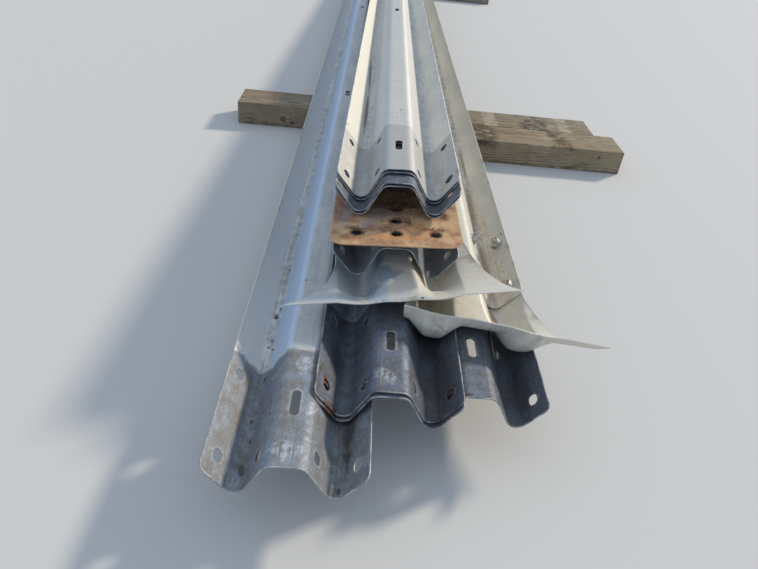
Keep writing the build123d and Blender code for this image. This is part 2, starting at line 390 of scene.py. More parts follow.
def addObject(name, data):
    obj = bpy.data.objects.new(name, data)
    bpy.context.collection.objects.link(obj)
    return obj


# Quads between the rings of a tube, each row of ids being a ring, and the polygons that close its two ends
def tubeFaces(ids):
    quads = np.concatenate([bandFaces(a, b) for a, b in zip(ids[:-1], ids[1:])])
    return quads, [ids[-1], ids[0][::-1]]


# Mesh from whole arrays: points (n, 3) in metres, quads (m, 4), closing polygons, and a UV for each point if given
def meshObject(name, points, faces, uv=None, caps=()):
    mesh = bpy.data.meshes.new(name)
    sizes = np.concatenate([np.full(len(faces), 4), [len(c) for c in caps]]).astype(np.int32)
    corners = np.concatenate([faces.ravel(), *caps]).astype(np.int32)
    mesh.vertices.add(len(points))
    mesh.vertices.foreach_set("co", points.astype(np.float32).ravel())
    mesh.loops.add(len(corners))
    mesh.loops.foreach_set("vertex_index", corners)
    mesh.polygons.add(len(sizes))
    mesh.polygons.foreach_set("loop_start", np.concatenate([[0], np.cumsum(sizes)[:-1]]).astype(np.int32))
    mesh.update(calc_edges=True)
    if uv is not None:
        mesh.uv_layers.new(name="UVMap").data.foreach_set("uv", uv[corners].astype(np.float32).ravel())
    mesh.validate()
    mesh.shade_smooth()
    return addObject(name, mesh)


# A sheet from its net: bent by `shape`, put in its place, given its thickness and a small round on the cut edges.
# UVMap holds metres across the sheet from the ridge line and metres along from the near end.
def makeSheet(node, net, faces, shape, placed, thickness, flatAcross=None):
    origin, ex, ey, ez = placed
    world = origin + shape(net) * mm @ np.array([ex, ey, ez])
    uv = (net if flatAcross is None else np.stack([flatAcross(net), net[:, 1]], axis=1)) * mm
    obj = meshObject(node + "_sheet", world, faces, uv)
    solid = obj.modifiers.new("thickness", "SOLIDIFY")
    solid.thickness = thickness * mm
    solid.offset = 0.0
    bevel = obj.modifiers.new("edge", "BEVEL")
    bevel.width = sheetForm["edgeRound"] * mm
    bevel.segments = 2
    bevel.limit_method = "ANGLE"
    bevel.angle_limit = math.radians(50)
    bevel.harden_normals = True
    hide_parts(node)
    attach(obj, "root")
    return obj


# A shader socket that takes part in expressions: each operator adds a Math node
class Sock:
    def __init__(self, wiring, socket):
        self.wiring, self.socket = wiring, socket

    def maths(self, operation, *values):
        return self.wiring("ShaderNodeMath", operation=operation, inputs=(self, *values))

    def __add__(self, other):
        return self.maths("ADD", other)

    __radd__ = __add__

    def __mul__(self, other):
        return self.maths("MULTIPLY", other)

    __rmul__ = __mul__

    def __sub__(self, other):
        return self.maths("SUBTRACT", other)

    def __rsub__(self, other):
        return self.wiring("ShaderNodeMath", operation="SUBTRACT", inputs=(other, self))

    def __truediv__(self, other):
        return self.maths("DIVIDE", other)

    def __pow__(self, other):
        return self.maths("POWER", other)

    def __abs__(self):
        return self.maths("ABSOLUTE")

    def least(self, other):
        return self.maths("MINIMUM", other)

    def most(self, other):
        return self.maths("MAXIMUM", other)

    # 0 below `low`, 1 above `high`, eased between them
    def ramp(self, low, high, below=0.0, above=1.0):
        return self.wiring("ShaderNodeMapRange", interpolation_type="SMOOTHSTEP", clamp=True,
                           inputs=(self, low, high, below, above))

    # 1 below `low`, 0 above `high`
    def fade(self, low, high):
        return self.ramp(low, high, 1.0, 0.0)


# Wires one material: w("TYPE", setting=..., inputs=..., named={...}) adds a node and gives back its output
class Wiring:
    def __init__(self, name):
        self.material = bpy.data.materials.new(name)
        self.material.use_nodes = True
        self.tree = self.material.node_tree
        self.shader = self.tree.nodes["Principled BSDF"]
        self.colour = None

    def __call__(self, kind, output=0, inputs=(), named=None, **settings):
        node = self.tree.nodes.new(kind)
        for key, value in settings.items():
            setattr(node, key, value)
        for key, value in list(enumerate(inputs)) + list((named or {}).items()):
            self.join(value, node.inputs[key])
        return Sock(self, node.outputs[output])

    def join(self, value, socket):
        if isinstance(value, Sock):
            self.tree.links.new(value.socket, socket)
        else:
            socket.default_value = value

    def mix(self, factor, a, b):
        node = self.tree.nodes.new("ShaderNodeMix")
        node.data_type = "RGBA"
        for value, index in ((factor, 0), (a, 6), (b, 7)):
            self.join(value if isinstance(value, Sock) or index == 0 else (*value, 1.0), node.inputs[index])
        return Sock(self, node.outputs[2])

    # Lays a tone over the colour so far, where its mask says
    def lay(self, mask, tone):
        self.colour = self.mix(mask, self.colour, tone)

    def split(self, vector):
        parts = self("ShaderNodeSeparateXYZ", inputs=(vector,)).socket.node
        return [Sock(self, output) for output in parts.outputs]

    def vector(self, x, y, z):
        return self("ShaderNodeCombineXYZ", inputs=(x, y, z))

    def noise(self, vector, scale, detail=4.0, rough=0.55):
        return self("ShaderNodeTexNoise",
                    named={"Vector": vector, "Scale": scale, "Detail": detail, "Roughness": rough})

    def cells(self, vector, scale, output="Color"):
        return self("ShaderNodeTexVoronoi", output=output, named={"Vector": vector, "Scale": scale})

    def stretched(self, vector, factors):
        return self("ShaderNodeVectorMath", operation="MULTIPLY", inputs=(vector, factors))

    def length(self, x, y):
        return (x * x + y * y).maths("SQRT")

    # Blots: ellipses (u, v, half across, half along, turn) in mm and degrees, their edges broken by `waver`
    def blots(self, u, v, waver, listed):
        found = []
        for across, along, halfU, halfV, turn in listed:
            c, s = math.cos(math.radians(turn)), math.sin(math.radians(turn))
            du, dv = u - across * mm, v - along * mm
            far = self.length((du * c + dv * s) / (halfU * mm), (dv * c - du * s) / (halfV * mm))
            found.append((far + (waver - 0.5) * min(2.2, 0.16 * min(halfU, halfV))).fade(0.45, 1.0))
        return reduce(Sock.most, found) if found else None

    def finish(self, roughness, metallic, height, depth, specular=0.5):
        bump = self("ShaderNodeBump", named={"Strength": 1.0, "Distance": depth, "Height": height})
        values = {"Base Color": self.colour, "Roughness": roughness, "Metallic": metallic, "Normal": bump,
                  "Specular IOR Level": specular}
        for socket, value in values.items():
            self.join(value, self.shader.inputs[socket])
        return self.material


# A colour made lighter or darker
def scaled(colour, factor):
    return tuple(min(1.0, c * factor) for c in colour)


# Scales of the zinc coat's noises and cells, from its widest clouds to its finest grain
zincScales = dict(big=8, gate=14, cloud=32, dots=46, spangle=75, patches=95, lines=210, fine=270, grain=620)

# Finish of the zinc coated sheets. A piece's own dictionary changes what differs on it.
zincLook = dict(
    seed=0.0,
    clean=(0.52, 0.53, 0.53),
    dull=(0.34, 0.36, 0.38),
    glint=(0.66, 0.68, 0.70),
    glints=0.25,
    nearLap=0.0,
    farLap=0.6,
    lapCool=(0.24, 0.29, 0.36),
    lapWarm=(0.26, 0.235, 0.21),
    lapPale=(0.50, 0.52, 0.54),
    soil=0.5,
    soilAndShadeColour=(0.15, 0.13, 0.11),
    streaks=0.35,
    rings=0.4,
    rimPale=(0.72, 0.72, 0.70),
    edgeRust=0.35,
    specks=0.4,
    rustDark=(0.085, 0.035, 0.018),
    rustWarm=(0.235, 0.11, 0.05),
    metal=0.45,
    rough=0.42,
    webLightTints=None,
    paleTone=(0.62, 0.64, 0.66),
    dents=2.2,
    rust=(),
    dark=(),
    pale=(),
    nearHoles=True,
)


# Distance in metres from the rim of the nearest slot, from the section's own hole places
def slotDistance(w, u, v, length, nearHoles):
    inner, outer = (float(arcAt(x)) * mm for x in slotForm["spliceAcross"])
    first, second = (row * mm for row in slotForm["spliceRows"])
    fromEnd = v.least(length - v) if nearHoles else length - v
    across = abs(abs(u) - inner).least(abs(abs(u) - outer))
    along = abs(fromEnd - first).least(abs(fromEnd - second))
    splice = w.length(across, along) - slotForm["spliceHalf"][0] * mm
    postAt = (length - slotForm["postFromEnd"] * mm) - v
    post = postAt.maths("PINGPONG", slotForm["postPitch"] * mm / 2) if nearHoles else abs(postAt)
    half = slotForm["postHalf"]
    straight = (half[1] - half[0]) * mm
    return splice.least(w.length(u, (post - straight).most(0.0)) - half[0] * mm)


# Zinc coat: cloudy patina, spangle, long streaks, painted light and shade on the webs, stained laps, soil in the
# valleys, pale rims and rings, dark and pale blots and rust, with a raised crust on laps, rust and pale blots
def zincCoat(name, length, **changes):
    look, scale = dict(zincLook, **changes), zincScales
    w = Wiring(name)
    length = length * mm
    u, v, _ = w.split(w("ShaderNodeUVMap", uv_map="UVMap"))
    here = w.vector(u, v, look["seed"] * 1.37)
    big = w.noise(w.stretched(here, (1, 0.35, 1)), scale["big"], 3)
    cloud = w.noise(here, scale["cloud"], 5, 0.62)
    patches = w.noise(here, scale["patches"], 4, 0.62)
    fine = w.noise(here, scale["fine"], 3, 0.6)
    grain = w.noise(here, scale["grain"], 2)
    lines = w.noise(w.stretched(here, (1, 0.02, 1)), scale["lines"], 3, 0.65)
    spangle = w.split(w.cells(w.stretched(here, (1, 1.7, 1)), scale["spangle"]))[0]
    gate = w.noise(w.vector(u, v, look["seed"] + 7.3), scale["gate"], 3)
    side = abs(u)
    fromEnd = v.least(length - v)
    valleyAt = section["valley"] * mm

    weather = (big * 0.35 + cloud * 0.3 + patches * 0.15 + lines * 0.2).ramp(0.41, 0.59)
    w.colour = w.mix(weather, look["clean"], look["dull"])
    w.lay(spangle.ramp(0.35, 1.0) * look["glints"], look["glint"])
    w.lay(lines.ramp(0.52, 0.68) * look["streaks"], look["lapPale"])
    w.lay(lines.fade(0.34, 0.46) * look["streaks"], look["lapCool"])

    # painted light and shade on the left half's webs: each web gets a tone that stands in for the sun, shade and sky
    # reflection falling on it
    if look["webLightTints"]:
        outer, inner = look["webLightTints"]
        left = 0 - u
        w.lay((left + (cloud - 0.5) * 0.02).ramp(valleyAt - 0.004, valleyAt + 0.006) * 0.8, outer)
        w.lay(left.ramp(0.024, 0.034) * left.fade(valleyAt - 0.03, valleyAt) * 0.75, inner)

    # where another rail lay lapped over or under this one: darker, blotched, with a pale line at its edge
    lap = sheetForm["lap"] * mm
    waver = (cloud - 0.5) * 0.05
    ends = ((v + waver, look["nearLap"]), ((length - v) + waver, look["farLap"]))
    lapped = reduce(Sock.most, [at.fade(lap - 0.004, lap + 0.004) * share for at, share in ends])
    onLine = reduce(Sock.most, [abs(at - lap).fade(0.002, 0.009) * share for at, share in ends])
    stain = (cloud * 0.32 + patches * 0.3 + fine * 0.38).ramp(0.43, 0.55)
    tone = w.mix(stain, look["lapCool"], look["lapWarm"])
    tone = w.mix((patches * 0.5 + fine * 0.5).ramp(0.5, 0.64) * 0.35, tone, look["lapPale"])
    tone = w.mix(lines.fade(0.36, 0.46) * 0.45, tone, look["lapWarm"])
    w.lay(lapped, tone)
    w.lay(onLine * 0.45, look["rimPale"])

    # soil along the valleys
    valley = abs(side - valleyAt).fade(0.002, 0.026)
    soil = valley * (lines * 0.5 + cloud * 0.5).ramp(0.43, 0.6) * look["soil"]
    w.lay(soil, look["soilAndShadeColour"])

    # pale and rusted rings round the slots, pale cut edges
    fromSlot = slotDistance(w, u, v, length, look["nearHoles"])
    ring = (fromSlot + (patches - 0.5) * 0.02).fade(0.001, 0.008) * look["rings"]
    w.lay(ring * 0.7, look["rimPale"])
    fromEdge = (section["edge"] * mm - side).least(fromEnd)
    w.lay(fromEdge.fade(0.001, 0.0036) * cloud.ramp(0.38, 0.62) * 0.6, look["rimPale"])

    # rust: broken rings, patches along the edges, small specks and the piece's own blots
    slotRust = fromSlot.fade(0.0, 0.006) * gate.ramp(0.5, 0.62)
    edgeRust = (fromEdge + (patches - 0.5) * 0.05).fade(0.001, 0.012) * gate.ramp(0.54, 0.66) * look["edgeRust"]
    dots = w.cells(here, scale["dots"], "Distance") + (grain - 0.5) * 0.2
    specks = dots.fade(0.05, 0.13) * gate.ramp(0.56, 0.64) * look["specks"]
    rust = slotRust.most(edgeRust).most(specks)
    own = w.blots(u, v, cloud, look["rust"])
    if own is not None:
        rust = rust.most(own * patches.ramp(0.36, 0.5))

    # dark and pale blots of the piece, the pale ones crusted, and the rust over them. On some pieces dark blots are
    # painted shade and pale ones painted light, on others they are real stains and scrapes
    dark = w.blots(u, v, cloud, look["dark"])
    if dark is not None:
        w.lay(dark * (0.45 + patches * 0.8).least(1.0), look["soilAndShadeColour"])
    pale = w.blots(u, v, cloud, look["pale"])
    crusted = 0.0
    if pale is not None:
        w.lay(pale * (patches * 0.6 + lines * 0.4).ramp(0.43, 0.6) * 0.55, look["paleTone"])
        crusted = pale * (patches + fine) * 1.1
    w.lay(rust, w.mix((patches * 0.6 + grain * 0.4).ramp(0.46, 0.64), look["rustDark"], look["rustWarm"]))

    bare = (1 - rust) * (1 - soil * 0.7)
    roughness = (look["rough"] + weather * 0.13 + grain * 0.12 + lapped * 0.1 + rust * 0.3).least(0.95)
    crust = crusted + rust * grain * 1.6 + lapped * (stain * 0.7 + patches * 0.8)
    height = grain * 0.4 + patches * 0.55 + spangle * 0.15 + crust + (big + cloud * 0.35) * look["dents"]
    return w.finish(roughness, bare * look["metal"], height, 0.00035)


# Rust plate of the end shoe: flaking orange rust over zinc that is left at the W end and in worn patches, with
# patches of painted sunlight in a brighter orange
rustPlateLook = dict(
    rustDeep=(0.12, 0.052, 0.03),
    rustBrown=(0.36, 0.19, 0.115),
    rustTan=(0.66, 0.43, 0.235),
    sunlitRustOrange=(0.64, 0.265, 0.085),
    zinc=(0.46, 0.43, 0.42),
    zincDull=(0.33, 0.31, 0.31),
    worn=((-132, 138, 26, 60, 6), (-66, 96, 30, 34, 40), (-38, 158, 50, 40, 30)),
    deep=((-94, 76, 44, 14, 0), (92, 80, 46, 13, 0), (4, 200, 70, 40, 0), (28, 120, 14, 34, 15),
          (120, 150, 22, 30, 0)),
    # these blots are painted sunlight: the sunlit patches at the front and on the right of the plate
    paintedSun=((60, 88, 56, 26, -32), (10, 40, 90, 16, 0), (-110, 30, 40, 14, 0)),
    zincBehind=(20, 90),
)


def rustPlate(name):
    look, f = rustPlateLook, shoeForm
    w = Wiring(name)
    u, v, _ = w.split(w("ShaderNodeUVMap", uv_map="UVMap"))
    here = w.vector(u, v, 4.4)
    big = w.noise(here, 9, 4)
    cloud = w.noise(here, 34, 5, 0.62)
    patches = w.noise(here, 110, 4, 0.65)
    grain = w.noise(here, 560, 3, 0.6)
    lines = w.noise(w.stretched(here, (1, 0.06, 1)), 150, 3)

    w.colour = w.mix((big * 0.4 + cloud * 0.6).ramp(0.4, 0.6), look["rustTan"], look["rustBrown"])
    w.lay(patches.ramp(0.5, 0.66) * 0.45, look["rustTan"])
    # painted sunlight: the brighter orange where the sun falls on the plate
    paintedSun = w.blots(u, v, cloud, look["paintedSun"]) * patches.ramp(0.36, 0.56)
    w.lay(paintedSun * 0.75, look["sunlitRustOrange"])
    deep = w.blots(u, v, cloud, look["deep"]) * (patches * 0.5 + cloud * 0.5).ramp(0.4, 0.52)
    w.lay(deep * 0.85, look["rustDeep"])
    w.lay(grain.ramp(0.56, 0.7) * 0.35, look["rustDeep"])

    # zinc is whole behind the plate and worn through the rust in places
    behind = (v + (cloud - 0.5) * 0.12).ramp(*((f["plate"] + far) * mm for far in look["zincBehind"]))
    zinc = behind.most(w.blots(u, v, cloud, look["worn"]) * (patches * 0.6 + lines * 0.4).ramp(0.42, 0.55) * 0.8)
    w.lay(zinc, w.mix(cloud.ramp(0.4, 0.6), look["zinc"], look["zincDull"]))

    # dark rings round the plate's holes, pale cut edge
    fromHole = reduce(Sock.least, [w.length(u - x * mm, v - y * mm) for x, y in f["holesAt"]]) - f["holeRadius"] * mm
    ring = (fromHole + (patches - 0.5) * 0.03).fade(0.001, 0.009) * (1 - zinc * 0.5)
    w.lay(ring * 0.85, look["rustDeep"])
    fromEdge = (f["plateWidth"] / 2 * mm - abs(u)).least(v)
    w.lay(fromEdge.fade(0.0015, 0.006) * 0.5, look["rustTan"])

    roughness = 0.86 - zinc * 0.36 + (grain - 0.5) * 0.2
    height = grain * (1.5 - zinc * 1.2) + patches * 0.9 - deep * 0.8
    return w.finish(roughness, zinc * 0.45, height, 0.0005, 0.35)


# Rows that round a corner off, from the end
cornerRows = np.array([4.0, 9.0, 15.0, 22.0, 30.0])


# (row, half length) of the splice slots at the given ends and of the post slots
def slotRows(ends, posts):
    rows = [(abs(end - row), slotForm["spliceHalf"][1]) for end in ends for row in slotForm["spliceRows"]]
    return rows + [(y, slotForm["postHalf"][1]) for y in posts]


# Slots of a short sheet's W end, and their rows
def farEnd(length):
    posts = [length - slotForm["postFromEnd"]]
    return spliceSlots(length, -1) + postSlots(posts), slotRows([length], posts)


# One rail: (s, y) net with its end and post slots
def railSheet(node):
    length = sheetForm["length"]
    posts = [slotForm["postFromEnd"] + slotForm["postPitch"] * i for i in range(5)]
    slots = spliceSlots(0, 1) + spliceSlots(length, -1) + postSlots(posts)
    rows = sheetRows(length, slotRows((0, length), posts), np.concatenate([cornerRows, length - cornerRows]))
    net, faces = sheetNet(sheetColumns(), rows, slots)
    return makeSheet(node, net, faces, bendRail, sheetFrame(node, length, True), sheetForm["thickness"])


# A flared end: rows close together in its curl, columns close together in its wings
def flareSheet(node, form):
    length = flareForm["length"]
    slots, rowsAt = farEnd(length)
    near = np.concatenate([np.linspace(0, 24, 19), np.linspace(24, 60, 15)[1:], np.linspace(60, 202, 17)[1:],
                           length - cornerRows])
    rim = section["edge"] - np.array([10.0, 8.6, 7.3, 6.0, 4.8, 3.6, 2.4, 1.2])
    net, faces = sheetNet(sheetColumns(rim), sheetRows(length, rowsAt, near, 40.0), slots)
    return makeSheet(node, net, faces, lambda p: bendFlare(p, **form), sheetFrame(node, length, False),
                     sheetForm["thickness"])


# The end shoe: rows close together at its corners and its twist, columns close together at its holes and edges
def shoeSheet(node):
    f = shoeForm
    length = f["length"]
    slots, rowsAt = farEnd(length)
    rowsAt += [(y, f["holeRadius"]) for _, y in f["holesAt"]]
    widen = f["plateWidth"] / sheetForm["width"]
    outermost = max(x for x, _ in f["holesAt"])
    ring = arcAt((outermost + np.array(f["ringLines"])) / widen)
    near = np.concatenate([np.linspace(0, 40, 14), np.linspace(f["plate"], f["plate"] + f["twist"], 26),
                           length - cornerRows])
    edge = section["edge"] - np.array([40.0, 34.0, 28.0, 22.0, 17.0, 12.0, 8.0, 5.0, 2.5])
    net, faces = sheetNet(sheetColumns(np.concatenate([ring, edge])), sheetRows(length, rowsAt, near, 40.0),
                          slots + plateSlots())

    # true width on the flat plate, arc length on the W
    def across(p):
        ease = smoothRamp((p[:, 1] - f["plate"]) / f["twist"])
        return p[:, 0] * ease + sectionX(p[:, 0]) * widen * (1 - ease)

    return makeSheet(node, net, faces, bendShoe, sheetFrame(node, length, False), f["thickness"], across)


# Splice bolts through the right side rail and the flared end under it: washer, nut and the threaded end above them.
# Each surface is a stack of rings (radius, height): the nut's radius is the lesser of the hexagon's and a round
# cap's, and the thread is a saw tooth that climbs once a turn.
boltForm = dict(washer=(17.5, 3.0), acrossFlats=31.0, nutHeight=14.0, shank=7.9, proud=7.0, pitch=2.0, tooth=1.1,
                sides=36, climbs=15, sharp=35, turns=(12.0, 41.0, 3.0, 27.0))


def boltRings(turn):
    b = boltForm
    angle = np.linspace(0, 2 * math.pi, b["sides"], endpoint=False)
    sixth = math.pi / 3
    hexagon = b["acrossFlats"] / 2 / np.cos((angle + math.radians(turn)) % sixth - sixth / 2)
    wide, thin = b["washer"]
    point, top = hexagon.max(), thin + b["nutHeight"]
    washer = [(wide - 0.6, -0.2), (wide, 0.5), (wide, thin - 0.5), (wide - 0.6, thin)]
    nut = [(point - 0.8, thin), (point, thin + 0.8), (point, top - 2.2), (point - 0.9, top - 1.3),
           (b["acrossFlats"] / 2 - 0.2, top), (b["shank"] + 1.2, top), (b["shank"] + 0.2, top - 0.8)]
    rings = washer + [(np.minimum(hexagon, r), z) for r, z in nut]
    for climb in np.linspace(0, 1, b["climbs"]):
        z = top - 0.8 + climb * (b["proud"] + 0.8)
        tooth = np.abs((z / b["pitch"] - angle / (2 * math.pi)) % 1 - 0.5)
        rings.append((b["shank"] - b["tooth"] * tooth * (1 - smoothRamp((climb - 0.75) / 0.25)), z))
    rings += [(b["shank"] * k, top + b["proud"] + dz) for k, dz in ((0.9, 0.5), (0.6, 0.9), (0.25, 1.0))]
    r, z = (np.array([np.broadcast_to(ring[i], angle.shape) for ring in rings]) for i in (0, 1))
    return np.stack([r * np.cos(angle), r * np.sin(angle), z], axis=-1)


# Each bolt stands on the sheet's normal, which is square to the slope of the section over a small step
def spliceBolts(node):
    origin, ex, ey, ez = sheetFrame(node, sheetForm["length"], True)
    points, faces, caps, count, step = [], [], [], 0, 0.5
    seats = [(x, y) for y in slotForm["spliceRows"] for x in slotForm["spliceAcross"]]
    for (x, y), turn in zip(seats, boltForm["turns"]):
        s = float(arcAt(x))
        run = sectionX(s + step) - sectionX(s - step)
        climb = sectionZ(s + step) - sectionZ(s - step)
        tangent = (run * ex + climb * ez) / math.hypot(run, climb)
        normal = np.cross(tangent, ey)
        seat = origin + (sectionX(s) * ex + y * ey + sectionZ(s) * ez + normal * sheetForm["thickness"] / 2) * mm
        rings = boltRings(turn)
        m, n = rings.shape[:2]
        points.append(seat + (rings.reshape(-1, 3) @ np.array([tangent, ey, normal])) * mm)
        quads, ends = tubeFaces(count + np.arange(m * n).reshape(m, n))
        faces.append(quads)
        caps += ends
        count += m * n
    obj = meshObject("splice_bolts", np.concatenate(points), np.concatenate(faces), caps=caps)
    obj.data.set_sharp_from_angle(angle=math.radians(boltForm["sharp"]))
    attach(obj, "root")
    return obj


def boltZinc(name):
    w = Wiring(name)
    here = w("ShaderNodeTexCoord", output=3)
    cloud = w.noise(here, 60, 4)
    grain = w.noise(here, 900, 3)
    w.colour = w.mix(cloud.ramp(0.38, 0.6), (0.72, 0.69, 0.62), (0.42, 0.40, 0.37))
    rust = (cloud * 0.5 + w.noise(here, 210, 4) * 0.5).ramp(0.53, 0.62)
    w.lay(rust * 0.8, (0.20, 0.085, 0.04))
    return w.finish(0.45 + rust * 0.35 + (grain - 0.5) * 0.2, (1 - rust) * 0.5, grain + cloud, 0.0003)


print("rails")
# Tones of the rails in shade, their dark patina deepened in part as painted shade, and of the cream rails in the sun,
# and the marks that both middle rails have
shaded = dict(clean=(0.31, 0.345, 0.395), dull=(0.19, 0.215, 0.26), glint=(0.42, 0.46, 0.52),
              lapCool=(0.165, 0.205, 0.275), lapWarm=(0.115, 0.11, 0.11), lapPale=(0.33, 0.38, 0.45),
              soilAndShadeColour=(0.08, 0.075, 0.08), nearLap=1.0, metal=0.5)
cream = dict(clean=(0.73, 0.69, 0.60), dull=(0.61, 0.585, 0.515), glint=(0.74, 0.72, 0.66),
             soilAndShadeColour=(0.36, 0.25, 0.145), rimPale=(0.76, 0.725, 0.65), lapCool=(0.44, 0.44, 0.41),
             lapPale=(0.67, 0.645, 0.575), metal=0.15, rings=0.3, streaks=0.18)
beside = dict(rust=((-198, 60, 10, 24, 0), (-221, 70, 3, 26, 0), (-184, 2, 36, 5, 0)),
              pale=((-10, 46, 26, 30, 0),),
              # the dark blots on the right lobe, at 168 and 150 across, are painted shade over dark patina
              dark=((-166, 8, 24, 12, 0), (168, 90, 62, 150, 0), (150, 250, 40, 120, 0), (-166, 150, 30, 70, 20)))
railLooks = {
    "bottom_left_rail": dict(
        seed=1, clean=(0.70, 0.70, 0.67), dull=(0.56, 0.575, 0.58), lapCool=(0.26, 0.31, 0.38),
        lapWarm=(0.175, 0.16, 0.145), lapPale=(0.43, 0.49, 0.57), nearLap=0.9, metal=0.4,
        # the web tones here are painted light: a pale sunlit tone on the left outer web and a painted blue sky
        # reflection on the left inner web
        soilAndShadeColour=(0.085, 0.075, 0.065), webLightTints=((0.84, 0.81, 0.75), (0.58, 0.73, 0.93)),
        rust=((-134, 518, 8, 17, 0), (-127, 546, 5, 9, 20), (-25, 578, 3, 5, 0), (-128, 728, 4, 8, 0)),
        pale=((-156, 34, 7, 34, 8), (-145, 18, 5, 18, -12), (0, 268, 22, 34, 20), (-4, 42, 40, 26, 0),
              (40, 150, 26, 18, 30)), paleTone=(0.66, 0.72, 0.80),
        dark=((-131, 48, 9, 20, 15), (143, 14, 6, 10, 0), (-131, 424, 4, 7, 0), (-135, 400, 4, 6, 20),
              (-123, 391, 4, 8, 30), (-126, 291, 4, 11, 0), (-134, 168, 5, 8, 0), (-126, 116, 5, 7, 0),
              (-66, 184, 5, 8, 0), (-56, 141, 4, 7, 0), (160, 150, 26, 110, 0))),
    "bottom_right_rail": dict(
        # darker still than the other rails in shade: dark patina with painted shade; its dark blot on the right lobe
        # is painted shade too
        shaded, seed=2, clean=(0.22, 0.24, 0.29), dull=(0.11, 0.13, 0.18), soil=0.2,
        rust=((-20, 8, 12, 5, 0), (150, 210, 4, 10, 0)), dark=((165, 90, 46, 110, 0),)),
    "bottom_middle_rail_lower": dict(shaded, **beside, seed=3),
    "bottom_middle_rail_upper": dict(shaded, **beside, seed=4),
    "right_side_rail": dict(
        cream, seed=5, soil=0.75, farLap=0.4,
        pale=((172, 130, 44, 170, 0), (160, 430, 30, 180, 0)), paleTone=(0.47, 0.33, 0.19),
        dark=((139, 190, 11, 190, 1), (136, 520, 13, 210, -1), (146, 900, 7, 190, 0)),
        rust=((127, 401, 4, 7, 0), (215, 307, 4, 6, 0), (87, 592, 4, 6, 0))),
    "inner_rail": dict(
        shaded, seed=6, clean=(0.44, 0.49, 0.55), dull=(0.30, 0.34, 0.39), lapCool=(0.25, 0.30, 0.37),
        lapWarm=(0.20, 0.20, 0.205), lapPale=(0.42, 0.47, 0.53), rings=0.35, edgeRust=0.15,
        rust=((156, 12, 12, 8, 0),)),
    "top_rail_4": dict(shaded, seed=7, rings=0.3),
    "top_rail_3": dict(shaded, seed=8, rings=0.3),
    "top_rail_2": dict(shaded, seed=9, rings=0.3),
    "top_rail_1": dict(
        seed=10, clean=(0.70, 0.68, 0.62), dull=(0.58, 0.58, 0.555), lapCool=(0.37, 0.40, 0.44),
        lapWarm=(0.38, 0.365, 0.33), lapPale=(0.68, 0.67, 0.62), nearLap=0.6, soil=0.3, glints=0.5,
        # the web tones here are painted light: painted sunlight on the left outer web and painted shade on the left
        # inner web
        webLightTints=((0.65, 0.625, 0.55), (0.60, 0.64, 0.66)), rust=((8, 447, 4, 5, 0),),
        pale=((176, 170, 26, 70, 0), (150, 60, 20, 40, 10), (-180, 120, 30, 80, 0)), paleTone=(0.80, 0.79, 0.74),
        dark=((-147, 640, 8, 250, 0), (-150, 1080, 7, 300, 1))),
}
for node, look in railLooks.items():
    sheet = railSheet(node)
    sheet.data.materials.append(zincCoat(node + "_zinc", sheetForm["length"], **look))

print("flared ends and end shoe")
# Bends of the two flared ends, and their looks
flareForms = {
    "flared_end_upper": dict(left=126.0, right=124.0, early=0.5, bed=6.0, drop=6.0, lift=(0, -11, 1),
                             depth=(0.10, 0.14, 0.19, 0.24, 0.28, 0.33, 0.62, 0.95, 1, 1)),
    "flared_end_right": dict(left=15.0, right=145.0, shift=(0, 38, 42, 50), skew=0.14, lift=(37, 37, 37),
                             press=14.0, bed=6.0, depth=(0.08, 0.21, 0.43, 0.60, 0.72, 0.80, 0.84, 0.93, 1, 1)),
}
flareLooks = {
    "flared_end_upper": dict(
        # painted shade on the left half: the web tones, and the blue-grey colour that the valleys and the dark blots
        # take, stand in for shade
        cream, seed=11, nearHoles=False, soil=0.1, farLap=0.0, soilAndShadeColour=(0.27, 0.33, 0.40),
        webLightTints=((0.52, 0.57, 0.60), (0.46, 0.54, 0.62)),
        dark=((-104, 84, 56, 60, 10), (-30, 110, 40, 50, 0)),
        rust=((-238, 4, 6, 9, 0), (238, 4, 6, 9, 0), (-130, 7, 9, 3, 0), (60, 5, 12, 3, 0))),
    "flared_end_right": dict(
        cream, seed=12, nearHoles=False, soil=0.4, farLap=0.0,
        rust=((7, 15, 4, 4, 0), (51, 19, 4, 3, 0), (-236, 6, 7, 9, 0), (238, 3, 6, 6, 0)),
        # the pale blots along the front of the curl, in a near white tone, are painted bounce light on that shaded
        # front
        pale=((-60, 20, 190, 30, 0), (150, 20, 110, 28, 0)), paleTone=(0.90, 0.88, 0.83),
        dark=((-122, 16, 20, 2, 28), (-104, 22, 16, 2, 24), (90, 24, 14, 2, -20), (122, 150, 20, 90, 0))),
}
for node, form in flareForms.items():
    sheet = flareSheet(node, form)
    sheet.data.materials.append(zincCoat(node + "_zinc", flareForm["length"], **flareLooks[node]))
shoe = shoeSheet("end_shoe")
shoe.data.materials.append(rustPlate("shoe_rust"))
spliceBolts("right_side_rail").data.materials.append(boltZinc("bolt_zinc"))


# A sawn timber: a rounded rectangle carried along X, its arrises worn down further here and there.
# Each point of the loop is corner * (half size - r) + direction * r, less a shallow wave of the faces; r is a slow
# wave of the place along the timber.
timberForm = dict(arris=3.5, wear=7.0, endRound=2.5, pitch=16.0, flatSteps=8, cornerSteps=7, wave=0.15, sharp=60)


